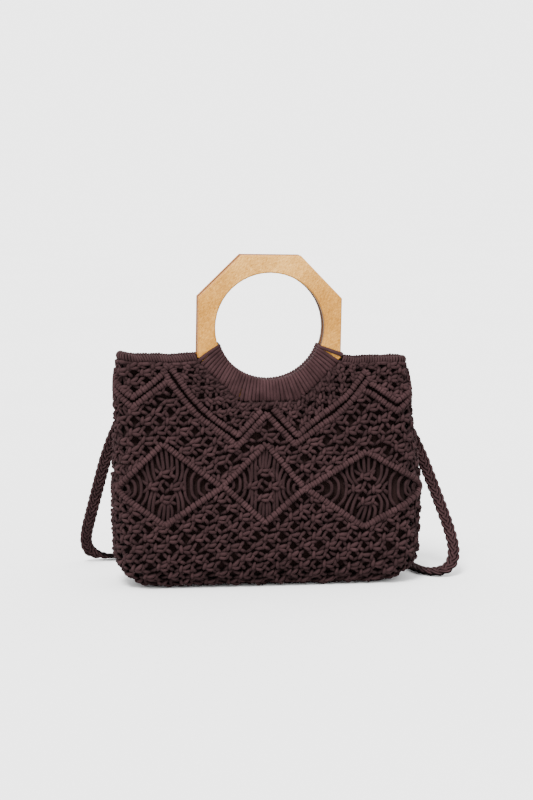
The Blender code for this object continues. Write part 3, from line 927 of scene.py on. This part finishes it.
def kept_strands(centres, across, up, turns, allowed):
    """For knots at flat places, which of each knot's strands lie in an area."""
    middle = KNOT_CURVES[:, 2:4, :2].mean(axis=1) * (across, up) * MM
    places = centres[:, None] + np.stack(turned(*middle.T, turns[:, None]), axis=-1)
    return allowed(places.reshape(-1, 2)).reshape(len(centres), -1)


def grid_knots(rows):
    """Knots of alternate columns in rows at the given heights."""
    return [
        (step / 2 * COLUMN, climb)
        for row, climb in enumerate(rows)
        for step in range(-HALF_COLUMNS, HALF_COLUMNS)
        if (step + row) % 2 == 0
    ]


def lattice_knots(side):
    """The knots on one side of the bag: metres across and up, how tall, and which strands."""
    found = []
    low = np.array([stray(*spot) for spot in grid_knots(FIRST_ROW + ROW * np.arange(LATTICE_ROWS))])
    high = np.array(grid_knots(UPPER_ROWS))
    for centres, up, allowed in ((low, 1.0, below_zigzag), (high, UPPER_HEIGHT, above_zigzag)):
        kept = kept_strands(centres, 1.0, up, np.zeros(len(centres)), allowed)
        for (across, climb), strands in zip(centres, kept):
            if not strands.any() or (up < 1 and under_handle(side, across, climb)):
                continue
            found.append((across, climb, up, np.flatnonzero(strands)))
    return found


def under_handle(side, across, climb):
    """Whether a place is under the handle or in the fan of knots along it."""
    x, _, z = skin(across / COLUMN, climb, 0.0)
    angle = math.atan2(z - HANDLE_HEIGHT, x - side * HANDLE_X) % (2 * math.pi)
    fanned = FAN_START < angle < FAN_END and FAN_REACH[0] < across < FAN_REACH[1]
    return fanned or octagon_reach(x * side, z) < NOTCH_FLATS + HANDLE_MARGIN


def squeeze(column, climb):
    """How wide a column is here, as a share of one on the front."""
    step = 0.1
    ends = skin(np.array([column - step, column + step]), climb, 0.0)
    return float(np.linalg.norm(ends[1] - ends[0])) / (2 * step * COLUMN)


def net_skin(column, climb, out):
    """The skin, with what lies on the floor flattened on it."""
    lean, rise = PROFILE.at(climb)[:2]
    down = np.sin(lean)
    most = np.where(down > LEAST_DOWN, (rise - FLOOR_GAP) / np.maximum(down, LEAST_DOWN), 1.0)
    return skin(column, climb, np.minimum(out, most))


def backing(strands, column, climb):
    """A hidden cord behind the knots."""
    places, normals = on_skin(column, climb, -BACKING_DEPTH, BACKING_DEPTH)
    strands.add(places, normals, BACKING_RADIUS, heights=-BACKING_DEPTH / MM)


def net_side(name, side, base_column, material):
    """The knots of the front or the back, in two halves."""
    halves = {"left": Strands(), "right": Strands()}
    for across, climb, up, strands in lattice_knots(side):
        narrow = squeeze(base_column + across / COLUMN, climb)

        def place(u, w, h, across=across, climb=climb):
            return net_skin(base_column + (across + u) / COLUMN, np.clip(climb + w, 0, PROFILE.top), h)

        half = halves["left" if across < 0 else "right"]
        add_knot(half, place, up=up, size=min(1.0, narrow) ** 0.4, strands=strands)
    fan(side, halves)
    climb = np.linspace(SEAM_START, PROFILE.top, 40)
    for half, sign in (("left", -1), ("right", 1)):
        for column in SEAM_COLUMNS:
            wave = SEAM_WAVE * np.sin(climb * 420 + column * 9)
            backing(halves[half], base_column + sign * (column + wave), climb)
    return [placed(strands.mesh(f"net_{name}_{half}", material), "cord") for half, strands in halves.items()]


def wall_spot(side, x, z):
    """Column and distance up the skin of a place on the front or back, seen from outside."""
    climb = PROFILE.climb_at(np.minimum(z, WALL_TOP))
    return column_at(x, climb) + (0 if side > 0 else HALF_COLUMNS), climb


def fan(side, halves):
    """Small knots in rows that follow the handle's lower edge."""
    spots = []
    for row, out in enumerate(FAN_ROWS):
        for i in range(FAN_KNOTS + 1 - row % 2):
            angle = FAN_START + (FAN_END - FAN_START) * (i + 0.5 * (row % 2)) / FAN_KNOTS
            spots.append((*below_handle(side, angle, out), angle + math.pi / 2))
    x, z, leans = np.array(spots).T
    column, climb = wall_spot(1, x, z)
    flats = np.stack([column * COLUMN, climb], axis=1)
    kept = kept_strands(flats, *FAN_SHAPE, leans, above_zigzag)
    for x, z, lean, strands in zip(x, z, leans, kept):
        def place(u, w, h, x=x, z=z, lean=lean):
            across, up = turned(u, w, lean)
            return skin(*wall_spot(side, x + across, z + up), h)

        if strands.any():
            half = halves["left" if x < 0 else "right"]
            add_knot(half, place, *FAN_SHAPE, size=FAN_SIZE, strands=np.flatnonzero(strands))
    for half, start, end in (("left", FAN_START, 1.5 * math.pi), ("right", 1.5 * math.pi, FAN_END)):
        for out in FAN_EDGES:
            x, z = below_handle(side, np.linspace(start, end, 24), out)
            backing(halves[half], *wall_spot(side, x, z))


# Ridges of hitches

FINE_STEP = 0.0006


def even_points(base_column, line, step):
    """Points, directions and stretch at an even real step along a flat polyline on the skin."""
    corners = walked_along(line)
    fine = np.linspace(0, corners[-1], max(8, round(corners[-1] / FINE_STEP)))
    route = read_at(fine, corners, line)
    along = walked_along(skin(base_column + route[:, 0] / COLUMN, route[:, 1], 0.0))
    count = max(2, round(along[-1] / step))
    places = np.interp((np.arange(count) + 0.5) / count * along[-1], along, fine)
    points = read_at(places, fine, route)
    stretch = np.gradient(places) / (along[-1] / count)
    return points, unit(np.gradient(points, axis=0)), stretch


RIB_PITCH = 0.0031
RIB_PAIRING = 0.22
RIB_SHIFT = 0.12
RIB_SLIP = 0.15
RIB_SIZES = 0.03
RIB_FLATTENING = 0.85
# One rib in millimetres: along, across and out, with its radius
RIB = (
    (-0.40, -2.0, -3.4, 1.5), (-0.30, -1.85, -1.6, 1.75), (-0.1, -0.8, -0.2, 1.9),
    (0.1, 0.8, -0.2, 1.9), (0.30, 1.85, -1.6, 1.75), (0.40, 2.0, -3.4, 1.5),
)
# The cord inside a ridge: its height in millimetres, its radius and its step
RIDGE_CORE = (-1.9, 0.0019, 0.002)
# The height that sets the ridge core's painted shade, so it looks dark between the ribs
CORE_SHADE = -2.5
RIDGE_HEIGHT = 1.4
TIP_HEIGHT = 1.6
# Where a ridge is cut: at turns with a smaller cosine than this
SHARP = 0.92
RUN_ON = 0.0012
SHORT_RUN = 0.010


def ridge(strands, base_column, line, height):
    """A row of hitches: ribs in pairs over a cord, along a flat polyline."""
    rib = np.array(RIB)
    for i, (point, way, pull) in enumerate(zip(*even_points(base_column, line, RIB_PITCH))):
        across = np.array([-way[1], way[0]])
        along = (rib[:, 0] + RIB_PAIRING * (-1) ** i + RANDOM.normal(0, RIB_SHIFT)) * pull
        aside = rib[:, 1] + RANDOM.normal(0, RIB_SLIP)
        flat = point + (along[:, None] * way + aside[:, None] * across) * MM
        h = (rib[:, 2] + height + RANDOM.normal(0, RIB_SHIFT)) * MM
        places, normals = on_skin(base_column + flat[:, 0] / COLUMN, flat[:, 1], h)
        radius = rib[:, 3] * RANDOM.normal(1, RIB_SIZES) * MM
        # The ribs' heights paint light on their raised middles and shade on their sunk ends
        strands.add(places, normals, radius, radius * RIB_FLATTENING, heights=rib[:, 2] + height)
    depth, radius, step = RIDGE_CORE
    core, _, _ = even_points(base_column, line, step)
    places, normals = on_skin(base_column + core[:, 0] / COLUMN, core[:, 1], (depth + height) * MM)
    strands.add(places, normals, radius, heights=CORE_SHADE)


def diamond_spot(corners, across, up):
    """A place in a diamond: -1 to 1 from its left to its right corner and from bottom to top."""
    left, top, right, bottom = np.array(corners) * MM
    middle = (left + top + right + bottom) / 4
    sideways = (right - middle) * across if across > 0 else (middle - left) * across
    return middle + sideways + ((top - middle) * up if up > 0 else (middle - bottom) * up)


def straight_runs(line):
    """A flat polyline cut where it turns sharply, each piece run on a little past the turn."""
    ways = unit(np.diff(line, axis=0))
    turns = (ways[:-1] * ways[1:]).sum(axis=1)
    cuts = [0, *(np.flatnonzero(turns < SHARP) + 1), len(line) - 1]
    for first, last in zip(cuts, cuts[1:]):
        run = line[first : last + 1].copy()
        if np.linalg.norm(run[-1] - run[0]) < SHORT_RUN:
            continue
        run[0] -= ways[first] * RUN_ON
        run[-1] += ways[last - 1] * RUN_ON
        yield run


def ridges(name, base_column, material):
    strands = Strands()
    for table in (UPPER_ZIGZAG, LOWER_ZIGZAG):
        for run in straight_runs(np.array(table) * MM):
            ridge(strands, base_column, run, RIDGE_HEIGHT)
    for tip in RIDGE_TIPS:
        ridge(strands, base_column, np.array(tip) * MM, TIP_HEIGHT)
    for corners in DIAMONDS:
        for edge in zip(corners, corners[1:] + corners[:1]):
            ridge(strands, base_column, np.array(edge) * MM, RIDGE_HEIGHT)
    return placed(strands.mesh(f"ridges_{name}", material), "cord")


# Cords and knots inside the diamonds

FREE_CORDS = (0.42, 0.54, 0.67, 0.81)
FREE_FLARE = 0.045
FREE_BOW = 0.080
CORD_ENDS = 0.97
# Cords from a diamond's edge to its knots: the share across where they start, how far they spread, then
# in millimetres how far up and down they bend, and where they meet the knots across and up
KNOT_CORDS = (
    (0.05, 0.80, 20.0, -21.0, 2.2, 14.5),
    (0.14, 0.80, 20.0, -21.0, 2.2, 14.5),
    (0.24, 0.92, 13.0, -14.0, 8.5, 2.5),
    (0.33, 0.92, 13.0, -14.0, 12.5, 2.5),
)
# Middles of the knots in a diamond, in millimetres, and their shape
DIAMOND_KNOTS = ((0, 12.4), (-10.5, 0.4), (10.5, -0.6), (0, -12.4))
DIAMOND_KNOT_SHAPE = (0.92, 0.96, 0.98)
DIAMOND_CORD_RADIUS = 0.00178
DIAMOND_CORD_DEPTH = 0.0026
DIAMOND_CORD_DIP = 0.0012


def diamond_routes(corners):
    """The flat lines of the cords in a diamond: free ones at its sides, and those to its knots."""
    def spot(across, up):
        return diamond_spot(corners, across, up)

    routes = []
    for sign in (-1, 1):
        for share in FREE_CORDS:
            end = share + FREE_FLARE
            top, bottom = spot(sign * end, CORD_ENDS - end), spot(sign * end, end - CORD_ENDS)
            bow = [spot(sign * (share - FREE_BOW * (1 - t * t)), t * (1 - end)) for t in (0.5, 0, -0.5)]
            routes.append([top, *bow, bottom])
    centre = spot(0, 0)
    half = (corners[2][0] - corners[0][0]) / 2 * MM
    for sign in (-1, 1):
        for share, spread, rise, fall, across, up in KNOT_CORDS:
            bend = sign * share * half * spread
            meet = np.array([sign * across, up]) * MM
            top, bottom = spot(sign * share, CORD_ENDS - share), spot(sign * share, share - CORD_ENDS)
            routes.append([top, centre + (bend, rise * MM), centre + meet])
            routes.append([centre + meet * (1, -1), centre + (bend, fall * MM), bottom])
    return routes


def diamond_cords(name, base_column, material):
    strands = Strands()
    for corners in DIAMONDS:
        for route in diamond_routes(corners):
            curve = resampled(route, 12)
            curve += RANDOM.normal(0, 0.0003, (1, 2))
            ends = np.abs(np.linspace(-1, 1, len(curve)))
            h = -DIAMOND_CORD_DEPTH - DIAMOND_CORD_DIP * ends**4 + RANDOM.normal(0, 0.0002)
            places, normals = on_skin(base_column + curve[:, 0] / COLUMN, curve[:, 1], h)
            strands.add(places, normals, DIAMOND_CORD_RADIUS * RANDOM.normal(1, 0.04), heights=h / MM)
        centre = diamond_spot(corners, 0, 0)
        for offset in DIAMOND_KNOTS:
            across, climb = centre + np.array(offset) * MM

            def place(u, w, h, across=across, climb=climb):
                return skin(base_column + (across + u) / COLUMN, climb + w, h)

            add_knot(strands, place, *DIAMOND_KNOT_SHAPE)
    return placed(strands.mesh(f"diamond_cords_{name}", material), "cord")


# Base

BASE_SINK = 0.0026
BASE_MARGIN = 0.004
BASE_EDGE = 0.0021
# Cords round the base: how far up the skin and how deep
BASE_LOOPS = ((0.001, 0.0045), (0.006, 0.0042), (0.013, 0.0040))


def net_base(material):
    """Rows of knots over the flat bottom."""
    strands = Strands()
    _, _, _, half_width, half_depth, corner = (float(value) for value in PROFILE.at(0.0))
    rows = math.floor((half_depth + 0.002) / ROW)
    for row in range(-rows, rows + 1):
        for step in range(-HALF_COLUMNS, HALF_COLUMNS + 1):
            x, y = step / 2 * COLUMN, row * ROW
            round_corner = math.hypot(max(0, abs(x) - half_width + corner), y)
            if (step + row) % 2 or abs(x) > half_width - BASE_MARGIN or round_corner > half_depth:
                continue

            def place(u, w, h, x=x, y=y):
                return np.stack([x + u, y - w, np.maximum(BASE_SINK - h, FLOOR_GAP) + 0 * u], axis=-1)

            add_knot(strands, place)
    columns = np.linspace(0, COLUMNS, 181)[:-1]
    for climb, depth in BASE_LOOPS:
        loop, normals = on_skin(columns, climb, -depth, depth)
        strands.add(loop, normals, BASE_EDGE, closed=True, heights=-depth / MM)
    return placed(strands.mesh("net_base", material), "cord")


# Lining

LINING_DROP = 0.0015
LINING_TUCK = 0.004
LINING_ROWS = 40
LINING_COLUMNS = 224
RIPPLE = 0.0006


def lining_top(x, side):
    """Height of the lining's edge at a place across: level, and lower under the handle."""
    across = np.abs(x - side * HANDLE_X)
    half = NOTCH_FLATS / 2 + 0.002
    corner = half * math.tan(math.pi / 8)
    under = HANDLE_HEIGHT - half + np.maximum(0, across - corner)
    return np.where(across < half, np.minimum(under, WALL_TOP - LINING_DROP), WALL_TOP - LINING_DROP)


def lining_pouch(material):
    """Two sheets joined along their top edge, which is tucked up into the rim beside the handle."""
    columns = np.linspace(0, COLUMNS, LINING_COLUMNS + 1)[:-1]
    outer = -NET_THICKNESS - LINING_SLACK
    base = skin(columns, PROFILE.top, 0.0)
    side = np.where(base[:, 1] < 0, 1, -1)
    tops = PROFILE.climb_at(lining_top(base[:, 0] * side, side))
    beside_handle = np.abs(base[:, 0] - HANDLE_X) > NOTCH_FLATS / 2 + 0.003
    sheets = []
    for depth in (outer, outer - LINING_THICKNESS):
        sheet = []
        for share in np.linspace(0, 1, LINING_ROWS):
            ripple = RIPPLE * np.sin(columns * 2.9 + 5 * share) * np.sin(9 * share + columns * 1.3)
            sheet.append(skin(columns, share * tops, depth - RIPPLE + ripple))
        sheet[-1][:, 2] += np.where(beside_handle, LINING_TUCK, 0.0)
        sheets.append(np.array(sheet))
    verts = np.concatenate([sheet.reshape(-1, 3) for sheet in sheets])
    index = np.arange(len(verts)).reshape(2, LINING_ROWS, LINING_COLUMNS)
    quads = []
    for low, high, flip in (
        (index[0, :-1], index[0, 1:], 1), (index[1, :-1], index[1, 1:], -1), (index[:1, -1], index[1:, -1], 1)
    ):
        faces = np.stack([low, np.roll(low, -1, 1), np.roll(high, -1, 1), high], axis=-1)
        quads.append(faces.reshape(-1, 4)[:, ::flip])
    caps = [index[0, 0][::-1][None], index[1, 0][None]]
    piece = mesh_piece("lining_pouch", material, verts, [np.concatenate(quads), np.concatenate(caps)])
    return placed(piece, "lining", "lining")


# Wraps round the handle

BUNDLES = (1, 4, 4, 5, 4, 4, 4, 4, 5, 4, 4, 1)
GATHER = 0.95
# Gaps between two cords that no thinner cord fills, and the wood that shows before the last cord
OPEN_GAPS = (0, 1, 13, 35, 42)
LAST_GAP = math.radians(3.6)
LAST_CLOSE = 0.008
WOUND_START = math.radians(198)
WOUND_END = math.radians(342)
WRAP_STATIONS = 22
WRAP_SLANT = math.radians(6)
WRAP_SCATTER = (0.002, 0.004)
WRAP_OVER = 0.003
WRAP_OVER_ANGLE = math.radians(16)
THIN_CORD = 0.5
# Rounding of a loop round the ring's section, and the cord's flatness at the hand hole and beyond
SQUARE_ACROSS = 1.25
SQUARE_THROUGH = 2.6
CORNER_CUT = 0.30
WRAP_WIDE = 0.98
WRAP_FLAT = (1.20, 0.34)


def wrap_angles():
    """The angle of each wrap at the hand hole and at the handle's outer edge."""
    count = sum(BUNDLES)
    pitch = (WOUND_END - WOUND_START) / count
    inner, outer = [], []
    done = 0
    for size in BUNDLES:
        angles = WOUND_START + pitch * (done + 0.5 + np.arange(size))
        middle = angles.mean()
        inner += list(angles)
        outer += list(middle + (angles - middle) * GATHER)
        done += size
    inner, outer = np.array(inner), np.array(outer)
    share = (np.arange(count) + 0.5) / count
    outer += WRAP_SLANT * np.maximum(0, 1 - share / 0.55) ** 0.6
    outer[:-1] -= LAST_GAP * np.maximum(0, 1 - (1 - share[:-1]) / 0.30)
    inner[-1] -= LAST_CLOSE
    inner += RANDOM.normal(0, WRAP_SCATTER[0], count)
    outer += RANDOM.normal(0, WRAP_SCATTER[1], count)
    return inner, outer


def wraps(name, node, side, material):
    """Cords wound one by one round a ring's lower arc."""
    strands = Strands()
    middle = -side * HANDLE_SPREAD
    loop = np.linspace(0, 2 * np.pi, WRAP_STATIONS, endpoint=False)
    inner_angles, outer_angles = wrap_angles()
    cords = [(inner, outer, 1.0) for inner, outer in zip(inner_angles, outer_angles)]
    between = zip(
        (inner_angles[1:] + inner_angles[:-1]) / 2, (outer_angles[1:] + outer_angles[:-1]) / 2
    )
    cords += [(inner, outer, THIN_CORD) for i, (inner, outer) in enumerate(between) if i not in OPEN_GAPS]
    for inner, outer, size in cords:
        # A rounded oblong round the ring's section: -1 at the hand hole, 1 at the outer edge
        radial = np.clip(SQUARE_ACROSS * np.cos(loop), -1, 1)
        depth = np.clip(SQUARE_THROUGH * np.sin(loop), -1, 1)
        ease = 1 - CORNER_CUT * (np.abs(radial) * np.abs(depth)) ** 3
        share = (radial + 1) / 2
        angle = inner + (outer - inner) * share
        low = HANDLE_HOLE / 2 - WRAP_CORD / 2 * size
        high = octagon_radius(HANDLE_FLATS + WRAP_CORD * size, angle)
        high = high + WRAP_OVER * max(0, 1 - (inner - WOUND_START) / WRAP_OVER_ANGLE)
        radius = (low + high) / 2 + (high - low) / 2 * radial
        y = middle + (HANDLE_THICKNESS + WRAP_CORD * size) / 2 * depth * ease
        x = HANDLE_X + radius * np.cos(angle - HANDLE_ROLL)
        z = HANDLE_HEIGHT + radius * np.sin(angle - HANDLE_ROLL)
        points = np.stack([x, y, z], axis=-1)
        normals = np.stack([-np.sin(angle), 0 * angle, np.cos(angle)], axis=-1)
        wide = WRAP_CORD / 2 * WRAP_WIDE * size
        flat = WRAP_CORD / 2 * (WRAP_FLAT[0] + WRAP_FLAT[1] * share)
        strands.add(points, normals, wide, flat, closed=True)
    return placed(strands.mesh(name, material), "cord", node)


# Rims

RIM_CORD = 0.0025
RIM_PITCH = 0.0026
RIM_SLANT = 0.0010
RIM_FULLER = 0.0003
RIM_END = 0.0034
RIM_WAVE = 0.0004
UNEVENNESS = 0.05


def rim_route(node, side):
    """The rim's middle line, from the front end of its node round to the back end."""
    low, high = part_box(node)
    inner = low[0] if side > 0 else high[0]
    columns = np.linspace(0, HALF_COLUMNS, 141) * side
    outline = skin(columns, PROFILE.top, -RIM_DIAMETER / 2)
    kept = outline[(outline[:, 0] - inner) * side > RIM_DIAMETER / 4]
    first, last = kept[0].copy(), kept[-1].copy()
    first[0] = last[0] = inner - side * RIM_END
    route = np.concatenate([[first], kept, [last]])
    waves = np.sin(route[:, 0] * 190 + side) + 0.6 * np.sin(route[:, 0] * 430 + route[:, 1] * 300)
    route[:, 2] = BODY_HEIGHT - RIM_DIAMETER / 2 + RIM_WAVE * waves - sag(route[:, 0])
    return route


def wound(strands, route, radius, pitch, cord, slant=0.0, belly=0.0, steps=12):
    """A cord wound round a route, with a core inside it, slanted along it and fuller in its middle."""
    along = walked_along(route)
    turns = along[-1] / pitch
    count = int(turns * steps)
    places = np.linspace(0, along[-1], count)
    centre = read_at(places, along, route)
    even = np.ones(25) / 25
    smooth = np.stack([np.convolve(np.pad(line, 12, "edge"), even, "valid") for line in centre.T], axis=1)
    tangents = unit(np.gradient(smooth, axis=0))
    up = np.broadcast_to((0.0, 0.0, 1.0), tangents.shape)
    if abs(tangents[:, 2]).mean() > 0.7:
        up = np.broadcast_to((0.0, 1.0, 0.0), tangents.shape)
    aside = unit(np.cross(tangents, up))
    above = np.cross(aside, tangents)
    phase = np.linspace(0, turns * 2 * np.pi, count)[:, None]
    outward = np.cos(phase) * above + np.sin(phase) * aside
    loose = 1 + UNEVENNESS * (np.sin(places * 900) + np.sin(places * 310))[:, None]
    full = 1 + belly * (1 - np.linspace(-1, 1, count) ** 2)[:, None]
    leaning = smooth + slant * np.cos(phase) * tangents
    strands.add(leaning + outward * (radius - cord / 2) * loose * full, unit(outward), cord / 2)
    core = (radius - cord * 0.75) * full[::6, 0]
    # The core gets painted shade, so the grooves between the turns look dark
    strands.add(smooth[::6], above[::6], core, heights=-4.0)


def rims(material):
    for name, side in (("left", -1), ("right", 1)):
        strands = Strands()
        route = rim_route(f"rim_{name}", side)
        wound(strands, route, RIM_DIAMETER / 2 + RIM_FULLER, RIM_PITCH, RIM_CORD, slant=RIM_SLANT)
        placed(strands.mesh(f"wound_rim_{name}", material), "cord", f"rim_{name}")


# Strap knots

ROLL_END = 0.0006
ROLL_INSET = 0.0004
ROLL_PITCH = 0.0030
ROLL_CORD = 0.0034
ROLL_BELLY = 0.15
KNOT_BANDS = (-0.0070, -0.0036, -0.0001, 0.0033, 0.0068)
KNOT_BAND_TURNS = np.radians((215, 165, 125, 90, 55, 15, -35))
KNOT_BAND_REACH = 0.0007
KNOT_BAND_RADIUS = 0.0019
KNOT_BAND_SPREAD = 0.0095
KNOT_BAND_SINK = 0.003


def strap_knots(material):
    """A full roll at each end of the strap, bound to the back of the net by five bands."""
    for name in ("left", "right"):
        strands = Strands()
        low, high = (np.array(corner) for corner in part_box(f"strap_knot_{name}"))
        centre = (low + high) / 2
        route = np.array([(*centre[:2], high[2] - ROLL_END), (*centre[:2], low[2] + ROLL_END)])
        wound(strands, route, STRAP_KNOT_DEPTH / 2 - ROLL_INSET, ROLL_PITCH, ROLL_CORD, belly=ROLL_BELLY)
        for lift in KNOT_BANDS:
            height = centre[2] + lift
            reach = STRAP_KNOT_DEPTH / 2 + KNOT_BAND_REACH - 40 * lift**2
            around = [
                centre + (reach * math.cos(turn), reach * math.sin(turn), lift + 0.0008 * math.sin(3 * turn))
                for turn in KNOT_BAND_TURNS
            ]
            ends = [
                skin(*wall_spot(-1, -(centre[0] + aside), height), -KNOT_BAND_SINK)
                for aside in (-KNOT_BAND_SPREAD, KNOT_BAND_SPREAD)
            ]
            curve = resampled([ends[0], *around, ends[1]], 26)
            strands.add(curve, unit(curve - (*centre[:2], height)), KNOT_BAND_RADIUS)
        placed(strands.mesh(f"tied_knot_{name}", material), "cord", f"strap_knot_{name}")


def main():
    camera()
    cord = cord_material("cord", CORD_DARK, CORD_LIGHT, 0.25)
    cord_wrap = cord_material("wrap_cord", WRAP_DARK, WRAP_LIGHT, 0.0)
    braid_strap(cord_material("braid_cord", BRAID_DARK, BRAID_LIGHT, 0.25, faces=2))
    lining_pouch(lining_material())
    pieces = []
    for name, side, base_column in (("front", 1, 0), ("back", -1, HALF_COLUMNS)):
        pieces += net_side(name, side, base_column, cord)
        pieces.append(ridges(name, base_column, cord))
        pieces.append(diamond_cords(name, base_column, cord))
    pieces.append(net_base(cord))
    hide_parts("net_body")
    wraps("wound_front", "wrap_front", 1, cord_wrap)
    wraps("wound_back", "wrap_back", -1, cord_wrap)
    rims(cord)
    strap_knots(cord)
    wood = wood_material()
    for node in ("handle_front", "handle_back"):
        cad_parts[node].material_slots[0].material = wood
    studio()


main()
